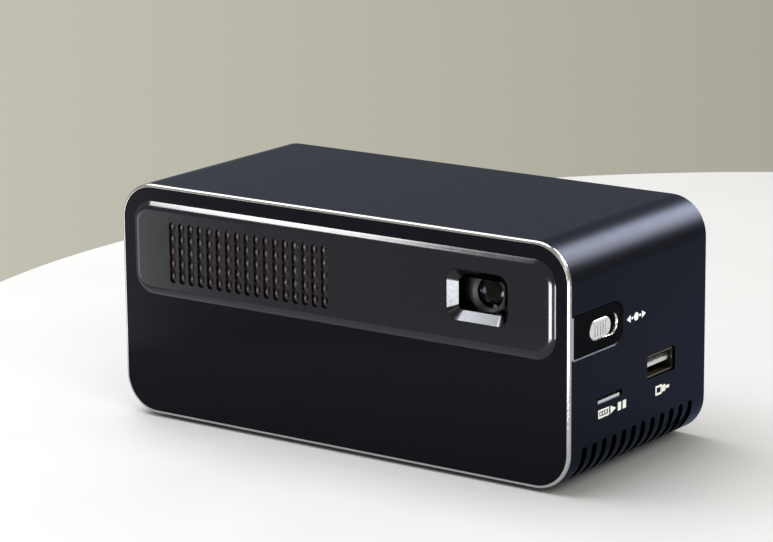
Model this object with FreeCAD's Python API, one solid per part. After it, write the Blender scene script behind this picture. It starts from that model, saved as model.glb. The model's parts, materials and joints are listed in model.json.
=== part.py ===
import FreeCAD, Part

import math
import os

# A pocket home projector, built as a bench full of separate pieces.
# Frame: +Z up, -Y the way the lens looks, +X towards the side with the focus slider and ports.
# The origin is the centre of the underside of the bounding box.  All sizes are in millimetres.

# ---------------------------------------------------------------- driving dimensions
BODY_W = 146.0
BODY_H = 65.0
BODY_D = 68.0           # front edge of the trim ring to the back edge of the sleeve
CORNER_R = 10.5
WALL = 1.6              # aluminium sleeve
FOOT_H = 1.0            # rubber showing under the body
FASCIA_PROUD = 0.8      # how far the raised fascia stands out past the trim ring

# Planes that follow from them.
X_SIDE = BODY_W / 2
Z_BOTTOM = FOOT_H
Z_TOP = FOOT_H + BODY_H
Y_BACK = (BODY_D + FASCIA_PROUD) / 2
Y_RING = Y_BACK - BODY_D
Y_FASCIA = Y_RING - FASCIA_PROUD
Z_INSIDE = Z_BOTTOM + WALL
X_INSIDE = X_SIDE - WALL

# Front: trim ring, gloss panel and raised fascia.
RING_ROUND = 0.75       # rounding of the ring's front edge
RING_LAND = 0.85        # width of the ring across the front
RING_LENGTH = 0.8       # how much of the ring is ahead of the sleeve
RING_SPIGOT = 2.6       # how far it goes into the sleeve
PANEL_RECESS = 0.2
PANEL_LIP = 0.5
PANEL_BACK = Y_RING + 2.8
FIT_GAP = 0.05
FASCIA_X = 68.75
FASCIA_Z = (Z_BOTTOM + 34.2, Z_BOTTOM + 60.3)
FASCIA_R = 6.2
FASCIA_CURVE = 2.3      # width of the rounded shoulder round the fascia
PANEL_FRONT = Y_RING + PANEL_RECESS
FASCIA_EDGE = 0.12      # thin upright edge under the shoulder

# Grille in the fascia.
GRILLE_COLUMNS = 17
GRILLE_ROWS = 5
GRILLE_PITCH_X = 3.22
GRILLE_PITCH_Z = 3.47
GRILLE_SLOT_W = 2.1     # one upright slot per column
GRILLE_SLOT_H = (GRILLE_ROWS - 1) * GRILLE_PITCH_Z + 3.3
GRILLE_X = -28.95
GRILLE_Z = Z_BOTTOM + 46.95
SCREEN_FRONT = 0.25     # the screen sits this far behind the panel's face
SCREEN_T = 0.65
SCREEN_HOLE_R = 0.85
SCREEN_SINK_R = 1.4     # countersunk mouth of each screen hole
SCREEN_SINK_DEPTH = 0.45

# Lens window and optical axis.
LENS_X = 45.4
LENS_Z = Z_BOTTOM + 48.1
WINDOW_W = 19.2
WINDOW_H = 13.9
WINDOW_R = 3.5
FUNNEL_SLOPE = 2.5      # how far the funnel closes in on each side
FUNNEL_DEPTH = 2.1
FUNNEL_INNER_R = 1.5
FUNNEL_RIM = 0.2        # flat rim round the funnel's mouth
LENS_SETBACK = 5.5      # fascia's front to the lens barrel's nose

# Focus tab, slot and slider on the +X side; Y sizes count back from the ring's front edge.
TAB_BACK = Y_RING + 25.5
TAB_Z = (Z_BOTTOM + 35.0, Z_BOTTOM + 46.1)
TAB_R = 4.2
TAB_GROOVE = 0.35
RING_SPIGOT_T = 1.35    # wall of the ring's spigot inside the sleeve
RING_PAD_T = 1.15
RING_PAD_BACK = Y_RING + 1.8
SLOT_Y = (Y_RING + 8.9, Y_RING + 23.8)
SLOT_Z = Z_BOTTOM + 40.7
SLOT_R = 3.3
SLOT_RIM = 0.5          # wall of the bright liner in the slot
SLOT_DEPTH = 1.5
LINER_SUNK = 0.2        # how far the liner's rim lies under the tab's face
KNOB_L = 10.2
KNOB_R = 2.6
KNOB_GAP = 0.1
KNOB_RIBS = 5
STEM_R = 1.0
FOCUS_TRAVEL = SLOT_Y[1] - SLOT_Y[0] - 2 * SLOT_RIM - KNOB_L - 2 * KNOB_GAP
LENS_TRAVEL = 0.7
RING_ARM_R = 23.4       # lens axis to the centre of the arm's ball
BALL_R = 1.2
BALL_SLOT_R = 1.26
CARRIAGE_X = (LENS_X + RING_ARM_R - 0.5, LENS_X + RING_ARM_R + 0.5)
CARRIAGE_Z = (37.05, 54.45)
BACKING_X = 70.2        # inner face of the tab's backing plate
BACKING_Z = (34.5, 56.2)
BALL_Y = -17.5
REST_SWING = math.degrees(math.asin(FOCUS_TRAVEL / 2 / RING_ARM_R))
FULL_SWING = 2 * REST_SWING

# Lens group, front to back.
BARREL_NOSE_Y = Y_FASCIA + LENS_SETBACK
BARREL_NOSE_R = 5.75
BARREL_R = 8.0
BARREL_SHOULDER_Y = BARREL_NOSE_Y + 2.5
BARREL_BACK_Y = -12.0
MOUNT_BORE_R = 8.05
MOUNT_R = 9.5
MOUNT_Y = (-26.0, -8.0)
FOCUS_RING_Y = (-23.0, -14.0)
FOCUS_RING_R = (9.58, 12.0)
CAM_PIN_Y = -19.5
CAM_PIN_R = 1.0
CAM_SLOT_R = 1.08
CAM_ANGLES = (90.0, 210.0, 330.0)

# Light engine.
ENGINE_X = (14.0, 60.0)
ENGINE_Y = (-8.0, 17.0)
ENGINE_Z = (38.0, 60.0)
ENGINE_WALL = 1.5
BEAM_Y = 4.5            # light path through the colour combiner, along X
RED_X = 21.5
BLUE_X = 30.5
LED_BOARD = 8.6
LED_T = 1.2

# Cooling.
SINK_X = (-53.0, -5.0)
SINK_Y = (-28.0, -14.0)
SINK_Z = (41.0, 57.0)
FIN_PITCH = 2.0
FIN_T = 0.4
PIPE_R = 2.0
FAN_X = (-52.0, -6.0)
FAN_Y = (-12.0, 30.0)
FAN_Z = (42.0, 54.0)
FAN_CENTRE = (-29.0, 10.0)
FAN_CAVITY_R = 18.0
FAN_LEGS = [(-46.0, 15.0), (-12.0, 15.0), (-30.0, -7.0)]
ROTOR_R = 16.0
HUB_R = 7.5
BLADE_COUNT = 13
SHAFT_R = 1.0

# Boards, battery and chassis.
BOARD_Z = (20.0, 21.6)
BOARD_X = (-67.0, 70.8)
BOARD_Y = (-29.5, 31.0)
DRIVER_Z = (30.0, 31.6)
DRIVER_X = (-54.0, 8.0)
DRIVER_Y = (-10.0, 19.0)
CELL_X = (13.5, 53.0)
CELL_Y = 27.0
CELL_Z = (4.6, 16.6)
CHASSIS_Z = (2.75, 4.25)
CHASSIS_X = 58.6
CHASSIS_Y = (-29.0, 30.5)
POST_X = 56.0
POST_Y = 25.0
POST_R = 2.7
SCREW_R = 1.0

# Screw channels inside the sleeve, which take the back panel's screws.
CHANNELS = [(-61.5, Z_INSIDE + 2.0), (61.5, Z_INSIDE + 2.0), (-64.0, Z_TOP - 3.8), (64.0, Z_TOP - 3.8)]
CHANNEL_R = 2.4
PANEL_IN = Y_BACK - 3.0     # inner face of the back panel
PANEL_OUT = Y_BACK - 0.4

# Side ports and vents.
USB_Y = Y_RING + 44.85
USB_Z = Z_BOTTOM + 24.75
USB_SIZE = (13.2, 5.8)
SD_Y = Y_RING + 19.1
SD_Z = Z_BOTTOM + 21.5
SD_OPENING = (12.2, 1.7)
SD_CARD = (11.3, 0.8)   # gap that the card goes into, over a metal lip
SD_LIP_W = 10.4
SD_LIP_SUNK = 0.25
VENT_COUNT = 12
VENT_PITCH = 4.8
VENT_FIRST_Y = Y_RING + 7.2
VENT_W = 2.3
VENT_TOP = Z_BOTTOM + 11.0
VENT_IN = 66.0          # how far in under the body the slots reach

# Back ports and controls.
HDMI_X = 30.0
HDMI_Z = 25.0
HDMI_SIZE = (14.8, 5.4)
AUDIO_X = 12.0
AUDIO_Z = 24.8
AUDIO_BORE_R = 1.8
DC_X = -8.0
DC_Z = 28.0
DC_BORE_R = 2.9
BUTTON_X = -40.0
BUTTON_Z = 34.5
BUTTON_R = 4.2
IR_X = -24.0
LIGHT_X = -31.5

# Underside.
FEET = [(x, y) for x in (-POST_X, POST_X) for y in (-POST_Y, POST_Y)]
FOOT_R = 5.0
FOOT_SUNK = 0.4
TRIPOD_R = 3.175        # quarter-inch camera thread, at its full diameter
TRIPOD_DEPTH = 6.3
TRIPOD_NUT_R = 5.5
TRIPOD_MOUTH = Z_BOTTOM + 0.2

# Speaker at the -X end.
SPEAKER_Z = 40.0
SPEAKER_HOLES = [(0.0, 1), (3.6, 6), (7.2, 12)]     # ring radius, holes in the ring


# ---------------------------------------------------------------- shape helpers
def vec(x, y, z):
    return FreeCAD.Vector(x, y, z)


def block(xs, ys, zs):
    """Box between two values on each axis."""
    return Part.makeBox(xs[1] - xs[0], ys[1] - ys[0], zs[1] - zs[0], vec(xs[0], ys[0], zs[0]))


def around(centre, width):
    """The pair of values half a width either side of a centre."""
    return (centre - width / 2, centre + width / 2)


def rod_x(r, xs, y, z):
    return Part.makeCylinder(r, xs[1] - xs[0], vec(xs[0], y, z), vec(1, 0, 0))


def rod_y(r, ys, x, z):
    return Part.makeCylinder(r, ys[1] - ys[0], vec(x, ys[0], z), vec(0, 1, 0))


def rod_z(r, zs, x, y):
    return Part.makeCylinder(r, zs[1] - zs[0], vec(x, y, zs[0]), vec(0, 0, 1))


def on_plane(plane, u, v, level):
    """The point at in-plane u, v on the plane 'xz', 'yz' or 'xy' at a level."""
    if plane == "xz":
        return vec(u, level, v)
    if plane == "yz":
        return vec(level, u, v)
    return vec(u, v, level)


def line(a, b):
    return Part.LineSegment(a, b).toShape()


def arc(a, middle, b):
    return Part.Arc(a, middle, b).toShape()


def rounded_wire(plane, us, vs, r, level):
    """Rectangle with round corners of radius r."""
    corners = [(us[1] - r, vs[1] - r, 0), (us[0] + r, vs[1] - r, 90),
               (us[0] + r, vs[0] + r, 180), (us[1] - r, vs[0] + r, 270)]
    edges = []
    last = None
    first = None
    for u, v, start in corners:
        turn = [math.radians(start + step) for step in (0, 45, 90)]
        a, b, c = [on_plane(plane, u + r * math.cos(t), v + r * math.sin(t), level) for t in turn]
        if last is None:
            first = a
        else:
            edges.append(line(last, a))
        edges.append(arc(a, b, c))
        last = c
    edges.append(line(last, first))
    return Part.Wire(edges)


def rounded_prism(plane, us, vs, r, levels):
    face = Part.Face(rounded_wire(plane, us, vs, r, levels[0]))
    return face.extrude(on_plane(plane, 0, 0, levels[1] - levels[0]))


def tapered_prism(plane, us, vs, r, closing, levels, far_r=None):
    """Rounded prism whose outline closes in by `closing` on every side between the two levels."""
    near = rounded_wire(plane, us, vs, r, levels[0])
    far_us = (us[0] + closing, us[1] - closing)
    far_vs = (vs[0] + closing, vs[1] - closing)
    far = rounded_wire(plane, far_us, far_vs, far_r or r - closing, levels[1])
    return Part.makeLoft([near, far], True, True)


def stadium(plane, start, end, r, levels):
    """Slot-shaped prism: everything within r of the line from start to end."""
    du, dv = end[0] - start[0], end[1] - start[1]
    length = math.hypot(du, dv)
    au, av = du / length * r, dv / length * r

    def at(corner, along, across):
        return on_plane(plane, corner[0] + along * au - across * av,
                        corner[1] + along * av + across * au, levels[0])

    outline = Part.Wire([line(at(start, 0, 1), at(end, 0, 1)),
                         arc(at(end, 0, 1), at(end, 1, 0), at(end, 0, -1)),
                         line(at(end, 0, -1), at(start, 0, -1)),
                         arc(at(start, 0, -1), at(start, -1, 0), at(start, 0, 1))])
    return Part.Face(outline).extrude(on_plane(plane, 0, 0, levels[1] - levels[0]))


def fuse(shapes):
    return shapes[0].multiFuse(shapes[1:]).removeSplitter()


def group(shapes):
    """Separate solids that share one node."""
    return Part.makeCompound(shapes)


def body_prism(inset, ys):
    """The body's own rounded outline, drawn in by an inset."""
    return rounded_prism("xz", (-X_SIDE + inset, X_SIDE - inset),
                         (Z_BOTTOM + inset, Z_TOP - inset), CORNER_R - inset, ys)


def tube_along(points, bend_r, tube_r):
    """Round tube along straight runs joined by tangent arcs."""
    edges = []
    start = points[0]
    for before, corner, after in zip(points, points[1:], points[2:]):
        into = (corner - before).normalize()
        out = (after - corner).normalize()
        half_turn = into.getAngle(out) / 2
        cut_back = bend_r * math.tan(half_turn)
        inward = (out - into).normalize()
        middle = corner + inward * (bend_r / math.cos(half_turn) - bend_r)
        edges.append(line(start, corner - into * cut_back))
        edges.append(arc(corner - into * cut_back, middle, corner + out * cut_back))
        start = corner + out * cut_back
    edges.append(line(start, points[-1]))
    section = Part.Wire(Part.Circle(points[0], points[1] - points[0], tube_r).toShape())
    return Part.Wire(edges).makePipeShell([section], True, False)


def lens_y(x, z, ys, edge_r, ball_r):
    """Biconvex glass element with its axis along Y."""
    disc = rod_y(edge_r, ys, x, z)
    front = Part.makeSphere(ball_r, vec(x, ys[0] + ball_r, z))
    back = Part.makeSphere(ball_r, vec(x, ys[1] - ball_r, z))
    return disc.common(front).common(back)


def screw_z(x, y, head_z, shank_z, head_r, shank_r):
    """Pan-head screw along Z; the head and shank ranges meet."""
    return rod_z(head_r, head_z, x, y).fuse(rod_z(shank_r, shank_z, x, y))


# ---------------------------------------------------------------- casing
def tab_outline(margin, xs):
    """D-shaped outline of the focus tab, grown by a margin; its front end is square."""
    blank = rounded_prism("yz", (RING_PAD_BACK - 3 * TAB_R, TAB_BACK + margin),
                          (TAB_Z[0] - margin, TAB_Z[1] + margin), TAB_R + margin, xs)
    return blank.common(block((xs[0] - 1, xs[1] + 1), (RING_PAD_BACK, TAB_BACK + 5), (0, Z_TOP)))


def tab_groove():
    """Half of the V groove round the focus tab, cut from the sleeve's side."""
    blank = tapered_prism("yz", (RING_PAD_BACK - 3 * TAB_R, TAB_BACK + TAB_GROOVE),
                          (TAB_Z[0] - TAB_GROOVE, TAB_Z[1] + TAB_GROOVE),
                          TAB_R + TAB_GROOVE, TAB_GROOVE, (X_SIDE, X_SIDE - TAB_GROOVE))
    return blank.common(block((X_SIDE - 1, X_SIDE + 1), (RING_PAD_BACK, TAB_BACK + 5), (0, Z_TOP)))


def vent_slots(side):
    """Tools for the row of vents that wraps round the lower edge of one side."""
    tools = []
    xs = sorted((side * VENT_IN, side * (X_SIDE + 1)))
    for i in range(VENT_COUNT):
        y = VENT_FIRST_Y + i * VENT_PITCH
        tools.append(stadium("yz", (y, Z_BOTTOM - 2), (y, VENT_TOP - VENT_W / 2), VENT_W / 2, xs))
    return tools


def speaker_holes():
    xs = (-X_SIDE - 1, -X_INSIDE + 1)
    tools = []
    for ring_r, count in SPEAKER_HOLES:
        for i in range(count):
            turn = 2 * math.pi * i / count
            y = ring_r * math.cos(turn)
            z = SPEAKER_Z + ring_r * math.sin(turn)
            tools.append(rod_x(1.0, xs, y, z))
    return tools


def body_sleeve():
    """Extruded aluminium sleeve with screw channels, vents and the side's cut-outs."""
    ys = (Y_RING + RING_LENGTH, Y_BACK)
    outer = body_prism(0, ys)
    rear_edges = [e for e in outer.Edges if e.BoundBox.YMin > Y_BACK - 0.01]
    sleeve = outer.makeFillet(0.8, rear_edges).cut(body_prism(WALL, (ys[0] - 1, ys[1] + 1)))
    channel_ys = (Y_RING + 4.1, PANEL_IN - 0.1)
    ribs = [rod_y(CHANNEL_R, channel_ys, x, z) for x, z in CHANNELS]
    sleeve = fuse([sleeve] + [rib.common(body_prism(WALL / 2, channel_ys)) for rib in ribs])
    tools = [rod_y(SCREW_R, (PANEL_IN - 12, PANEL_IN), x, z) for x, z in CHANNELS]
    tools += vent_slots(1) + vent_slots(-1) + speaker_holes()
    tools.append(tab_outline(0.05, (X_INSIDE - 1, X_SIDE + 1)))
    tools.append(tab_groove())
    tools.append(block((X_SIDE - RING_PAD_T - FIT_GAP, X_SIDE + 1), (ys[0] - 1, RING_PAD_BACK + 0.02), TAB_Z))
    usb_hole = (around(USB_Y, USB_SIZE[0] + 1.0), around(USB_Z, USB_SIZE[1] + 0.8))
    tools.append(rounded_prism("yz", usb_hole[0], usb_hole[1], 0.8, (X_INSIDE - 1, X_SIDE + 1)))
    tools.append(rounded_prism("yz", around(SD_Y, SD_OPENING[0]), around(SD_Z, SD_OPENING[1]), 0.6,
                               (X_INSIDE - 1, X_SIDE + 1)))
    tools.append(rod_z(TRIPOD_NUT_R, (0, Z_INSIDE + 1), 0, 0))
    for x, y in FEET:
        tools.append(rod_z(FOOT_R, (0, Z_BOTTOM + FOOT_SUNK), x, y))
        tools.append(rod_z(2.5, (0, Z_BOTTOM + 1.2), x, y))
        tools.append(rod_z(1.3, (0, Z_INSIDE + 1), x, y))
    return sleeve.cut(group(tools))


def front_trim_ring():
    """Bright ring round the front edge, with a wider pad where the focus tab starts."""
    shoulder_y = PANEL_FRONT + PANEL_LIP
    sleeve_y = Y_RING + RING_LENGTH
    front = body_prism(0, (Y_RING, sleeve_y))
    front_edges = [e for e in front.Edges if e.BoundBox.YMax < Y_RING + 0.01]
    ring = fuse([front.makeFillet(RING_ROUND, front_edges),
                 body_prism(WALL + FIT_GAP, (sleeve_y, sleeve_y + RING_SPIGOT))])
    ring = ring.cut(body_prism(RING_LAND, (Y_RING - 1, shoulder_y)))
    ring = ring.cut(body_prism(WALL + FIT_GAP + RING_SPIGOT_T, (shoulder_y - 1, sleeve_y + RING_SPIGOT + 1)))
    pad_z = (TAB_Z[0] + 0.02, TAB_Z[1] - 0.02)
    pad = block((X_SIDE - RING_PAD_T, X_SIDE), (sleeve_y - 0.1, RING_PAD_BACK), pad_z)
    return ring.fuse(pad).removeSplitter()


def window_prism(margin, ys):
    return rounded_prism("xz", around(LENS_X, WINDOW_W + 2 * margin),
                         around(LENS_Z, WINDOW_H + 2 * margin), WINDOW_R + margin, ys)


def grille_aperture(margin, ys):
    width = (GRILLE_COLUMNS + 0.6) * GRILLE_PITCH_X + 2 * margin
    height = (GRILLE_ROWS + 0.5) * GRILLE_PITCH_Z + 2 * margin
    return block(around(GRILLE_X, width), ys, around(GRILLE_Z, height))


def front_panel():
    """Gloss panel inside the ring, open behind the grille and the lens window."""
    lip = body_prism(RING_LAND + FIT_GAP, (PANEL_FRONT, PANEL_FRONT + PANEL_LIP))
    core = body_prism(WALL + RING_SPIGOT_T + 2 * FIT_GAP, (PANEL_FRONT + PANEL_LIP, PANEL_BACK))
    through = (Y_RING - 1, PANEL_BACK + 1)
    return fuse([lip, core]).cut(group([grille_aperture(0, through), window_prism(0, through)]))


def grille_column_x(column):
    """X of one grille column's centre line."""
    return GRILLE_X + (column - (GRILLE_COLUMNS - 1) / 2) * GRILLE_PITCH_X


def fascia_crown(edge_y):
    """Fascia's face with its shoulder: an arc that leaves the face smoothly and ends at edge_y."""
    rise = edge_y - Y_FASCIA
    arc_r = (FASCIA_CURVE ** 2 + rise ** 2) / (2 * rise)
    grow = arc_r - FASCIA_CURVE
    xs = (-FASCIA_X - grow, FASCIA_X + grow)
    zs = (FASCIA_Z[0] - grow, FASCIA_Z[1] + grow)
    blank = rounded_prism("xz", xs, zs, FASCIA_R + grow, (Y_FASCIA, Y_FASCIA + arc_r + 1))
    face_edges = [e for e in blank.Edges if e.BoundBox.YMax < Y_FASCIA + 0.01]
    return blank.makeFillet(arc_r, face_edges).common(block(xs, (Y_FASCIA, edge_y), zs))


def lens_fascia():
    """Raised plate with a rounded shoulder, the grille slots and the lens window."""
    edge_y = PANEL_FRONT - FASCIA_EDGE
    plate = fuse([rounded_prism("xz", (-FASCIA_X, FASCIA_X), FASCIA_Z, FASCIA_R, (edge_y, PANEL_FRONT)),
                  fascia_crown(edge_y)])
    tools = [window_prism(0, (Y_FASCIA - 1, PANEL_FRONT + 1))]
    reach = (GRILLE_SLOT_H - GRILLE_SLOT_W) / 2
    for column in range(GRILLE_COLUMNS):
        x = grille_column_x(column)
        tools.append(stadium("xz", (x, GRILLE_Z - reach), (x, GRILLE_Z + reach), GRILLE_SLOT_W / 2,
                             (Y_FASCIA - 1, PANEL_FRONT + 1)))
    return plate.cut(group(tools))


def grille_mesh():
    """Metal screen behind the grille slots, with a countersunk hole for each row of every slot."""
    ys = (PANEL_FRONT + SCREEN_FRONT, PANEL_FRONT + SCREEN_FRONT + SCREEN_T)
    plate = grille_aperture(-FIT_GAP, ys)
    holes = []
    for column in range(GRILLE_COLUMNS):
        x = grille_column_x(column)
        for row in range(GRILLE_ROWS):
            z = GRILLE_Z + (row - (GRILLE_ROWS - 1) / 2) * GRILLE_PITCH_Z
            holes.append(rod_y(SCREEN_HOLE_R, (ys[0] - 1, ys[1] + 1), x, z))
            holes.append(Part.makeCone(SCREEN_SINK_R, SCREEN_HOLE_R, SCREEN_SINK_DEPTH,
                                       vec(x, ys[0], z), vec(0, 1, 0)))
    return plate.cut(group(holes))


def lens_bezel():
    """Polished funnel that lines the lens window."""
    ys = (Y_FASCIA + 0.05, PANEL_BACK + 0.4)
    outer = window_prism(-FIT_GAP, ys)
    width = WINDOW_W - 2 * FUNNEL_RIM
    height = WINDOW_H - 2 * FUNNEL_RIM
    closing = FUNNEL_SLOPE - FUNNEL_RIM
    funnel = tapered_prism("xz", around(LENS_X, width), around(LENS_Z, height), WINDOW_R - FUNNEL_RIM,
                           closing, (ys[0], ys[0] + FUNNEL_DEPTH), FUNNEL_INNER_R)
    tunnel = rounded_prism("xz", around(LENS_X, width - 2 * closing), around(LENS_Z, height - 2 * closing),
                           FUNNEL_INNER_R, (ys[0] + FUNNEL_DEPTH, ys[1] + 1))
    return outer.cut(funnel).cut(tunnel)


def back_panel():
    """Plastic back with its ports, button hole, vents and two inner posts."""
    panel = body_prism(WALL + FIT_GAP, (PANEL_IN, PANEL_OUT))
    posts = [rod_y(1.8, (26.0, PANEL_IN), x, 30.0) for x in (-47.0, -19.5)]
    panel = fuse([panel] + posts)
    through = (PANEL_IN - 1, PANEL_OUT + 1)
    tools = [rounded_prism("xz", around(HDMI_X, HDMI_SIZE[0] + 0.6), around(HDMI_Z, HDMI_SIZE[1] + 0.6),
                           1.0, through)]
    tools.append(rod_y(3.1, through, AUDIO_X, AUDIO_Z))
    tools.append(rod_y(4.05, through, DC_X, DC_Z))
    tools.append(rod_y(BUTTON_R + 0.1, through, BUTTON_X, BUTTON_Z))
    tools.append(rod_y(2.5, through, IR_X, BUTTON_Z))
    tools.append(rod_y(1.0, through, LIGHT_X, BUTTON_Z))
    for i in range(13):
        x = 12.0 + 4.0 * i
        tools.append(stadium("xz", (x, 41.0), (x, 57.0), 1.0, through))
    for x, z in CHANNELS:
        tools.append(rod_y(SCREW_R, through, x, z))
        tools.append(rod_y(2.0, (PANEL_OUT - 1.0, PANEL_OUT + 1), x, z))
    return panel.cut(group(tools))


def focus_tab():
    """Insert that carries the focus slot, with the slider's guide rails on its back."""
    face = tab_outline(0, (X_INSIDE, X_SIDE - TAB_GROOVE))
    edge = tapered_prism("yz", (RING_PAD_BACK - 3 * TAB_R, TAB_BACK), TAB_Z, TAB_R,
                         TAB_GROOVE, (X_SIDE - TAB_GROOVE, X_SIDE))
    edge = edge.common(block((X_INSIDE, X_SIDE + 1), (RING_PAD_BACK, TAB_BACK + 1), (0, Z_TOP)))
    ys = (PANEL_BACK + 0.9, -4.0)
    backing = block((BACKING_X, X_INSIDE - 0.05), ys, BACKING_Z)
    neck = block((X_INSIDE - 0.05, X_INSIDE), (ys[0], TAB_BACK - TAB_R), TAB_Z)
    rail_zs = ((BACKING_Z[0], CARRIAGE_Z[0] - FIT_GAP), (CARRIAGE_Z[1] + FIT_GAP, BACKING_Z[1]))
    rails = [block((CARRIAGE_X[0] - 0.2, BACKING_X), ys, zs) for zs in rail_zs]
    tab = fuse([face, edge, neck, backing] + rails)
    stem_y = knob_centre_y()
    slit = stadium("yz", (stem_y, SLOT_Z), (stem_y + FOCUS_TRAVEL, SLOT_Z), STEM_R + 0.1,
                   (BACKING_X - 0.2, X_SIDE))
    tab = tab.cut(focus_slot(0, (X_SIDE - SLOT_DEPTH, X_SIDE - LINER_SUNK)))
    return tab.cut(focus_slot(SLOT_RIM, (X_SIDE - SLOT_DEPTH, X_SIDE + 1))).cut(slit)


def focus_slot(inset, xs):
    """The slot's long rounded outline, drawn in by an inset."""
    return stadium("yz", (SLOT_Y[0] + SLOT_R, SLOT_Z), (SLOT_Y[1] - SLOT_R, SLOT_Z), SLOT_R - inset, xs)


def focus_slot_tray():
    """Bright liner that stands round the slot's wall."""
    liner = focus_slot(0, (X_SIDE - SLOT_DEPTH, X_SIDE - LINER_SUNK))
    return liner.cut(focus_slot(SLOT_RIM, (X_SIDE - SLOT_DEPTH - 1, X_SIDE + 1)))


def knob_centre_y():
    return SLOT_Y[0] + SLOT_RIM + KNOB_GAP + KNOB_L / 2


def focus_knob():
    """Ribbed slider cap with its stem."""
    y = knob_centre_y()
    half = KNOB_L / 2 - KNOB_R
    xs = (X_SIDE - SLOT_DEPTH + 0.05, X_SIDE - 0.05)
    cap = stadium("yz", (y - half, SLOT_Z), (y + half, SLOT_Z), KNOB_R, xs)
    outer_edges = [e for e in cap.Edges if e.BoundBox.XMin > xs[1] - 0.01]
    cap = cap.makeFillet(0.35, outer_edges)
    grooves = []
    for i in range(KNOB_RIBS):
        groove_y = y + (i - (KNOB_RIBS - 1) / 2) * 1.3
        grooves.append(block((xs[1] - 0.45, xs[1] + 1), around(groove_y, 0.5), around(SLOT_Z, 3.6)))
    stem = rod_x(STEM_R, (CARRIAGE_X[0], xs[0]), y, SLOT_Z)
    return cap.cut(group(grooves)).fuse(stem).removeSplitter()


def focus_carriage():
    """Sliding plate whose diagonal slot swings the focus ring's arm."""
    plate = block(CARRIAGE_X, (-28.0, -10.0), CARRIAGE_Z)
    spacer = rod_x(2.2, (CARRIAGE_X[1], BACKING_X - FIT_GAP), knob_centre_y(), SLOT_Z)
    low = (BALL_Y, LENS_Z - FOCUS_TRAVEL / 2)
    high = (BALL_Y - FOCUS_TRAVEL, LENS_Z + FOCUS_TRAVEL / 2)
    slot = stadium("yz", low, high, BALL_SLOT_R, (CARRIAGE_X[0] - 1, CARRIAGE_X[1] + 1))
    hole = rod_x(STEM_R, (CARRIAGE_X[0] - 1, BACKING_X), knob_centre_y(), SLOT_Z)
    return fuse([plate, spacer]).cut(slot).cut(hole)


# ---------------------------------------------------------------- lens group
def radial_rod(r, angle, y, radii):
    """Rod that stands out from the lens axis at an angle, between two radii."""
    turn = math.radians(angle)
    direction = vec(math.cos(turn), 0, math.sin(turn))
    start = vec(LENS_X, y, LENS_Z) + direction * radii[0]
    return Part.makeCylinder(r, radii[1] - radii[0], start, direction)


def axis_rod(r, ys):
    return rod_y(r, ys, LENS_X, LENS_Z)


def focus_ring():
    """Cam ring: its arm follows the carriage, and its three slots push the barrel's pins."""
    ring = axis_rod(FOCUS_RING_R[1], FOCUS_RING_Y).cut(axis_rod(FOCUS_RING_R[0], (-24, -13)))
    arm = block((LENS_X + 11.0, LENS_X + RING_ARM_R - 1.6), around(BALL_Y, 3.0), around(LENS_Z, 3.0))
    neck = radial_rod(0.8, 0, BALL_Y, (RING_ARM_R - 2.0, RING_ARM_R))
    ball = Part.makeSphere(BALL_R, vec(LENS_X + RING_ARM_R, BALL_Y, LENS_Z))
    lever = fuse([arm, neck, ball])
    lever.rotate(vec(LENS_X, 0, LENS_Z), vec(0, 1, 0), REST_SWING)
    tools = []
    steps = 12
    for angle in CAM_ANGLES:
        for i in range(steps + 1):
            part_way = i / steps
            y = CAM_PIN_Y + LENS_TRAVEL * part_way
            tools.append(radial_rod(CAM_SLOT_R, angle - FULL_SWING * part_way, y, (9, 13)))
    return ring.fuse(lever).removeSplitter().cut(fuse(tools))


def lens_mount():
    """Fixed tube and flange; the barrel's pins run in its straight slots."""
    tube = axis_rod(MOUNT_R, MOUNT_Y)
    shoulder = axis_rod(11.0, (FOCUS_RING_Y[1] + 0.1, -10.0))
    flange = block(around(LENS_X, 26.0), (-10.0, ENGINE_Y[0]), around(LENS_Z, 21.0))
    mount = fuse([tube, shoulder, flange]).cut(axis_rod(MOUNT_BORE_R, (-27, -7)))
    tools = [rod_y(SCREW_R, (-11, -7), x, z) for x, z in mount_screw_points()]
    for angle in CAM_ANGLES:
        ends = [radial_rod(CAM_SLOT_R, angle, y, (7, 10)) for y in (CAM_PIN_Y, CAM_PIN_Y + LENS_TRAVEL)]
        middle = block((LENS_X + 7, LENS_X + 10), (CAM_PIN_Y, CAM_PIN_Y + LENS_TRAVEL),
                       around(LENS_Z, 2 * CAM_SLOT_R))
        middle.rotate(vec(LENS_X, 0, LENS_Z), vec(0, 1, 0), -angle)
        tools += [fuse(ends + [middle])]
    return mount.cut(group(tools))


def mount_screw_points():
    return [(LENS_X + sx * 11.0, LENS_Z + sz * 8.5) for sx in (-1, 1) for sz in (-1, 1)]


def lens_barrel():
    """Moving barrel with three cam pins."""
    nose = axis_rod(BARREL_NOSE_R, (BARREL_NOSE_Y, BARREL_SHOULDER_Y))
    tube = axis_rod(BARREL_R, (BARREL_SHOULDER_Y, BARREL_BACK_Y))
    barrel = fuse([nose, tube])
    barrel = barrel.cut(axis_rod(5.0, (BARREL_NOSE_Y - 1, BARREL_NOSE_Y + 3.0)))
    barrel = barrel.cut(axis_rod(4.2, (BARREL_NOSE_Y, BARREL_BACK_Y)))
    barrel = barrel.cut(axis_rod(6.6, (-23.0, BARREL_BACK_Y + 1)))
    pins = [radial_rod(CAM_PIN_R, angle, CAM_PIN_Y, (BARREL_R - 0.8, 11.6)) for angle in CAM_ANGLES]
    return fuse([barrel] + pins)


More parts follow.
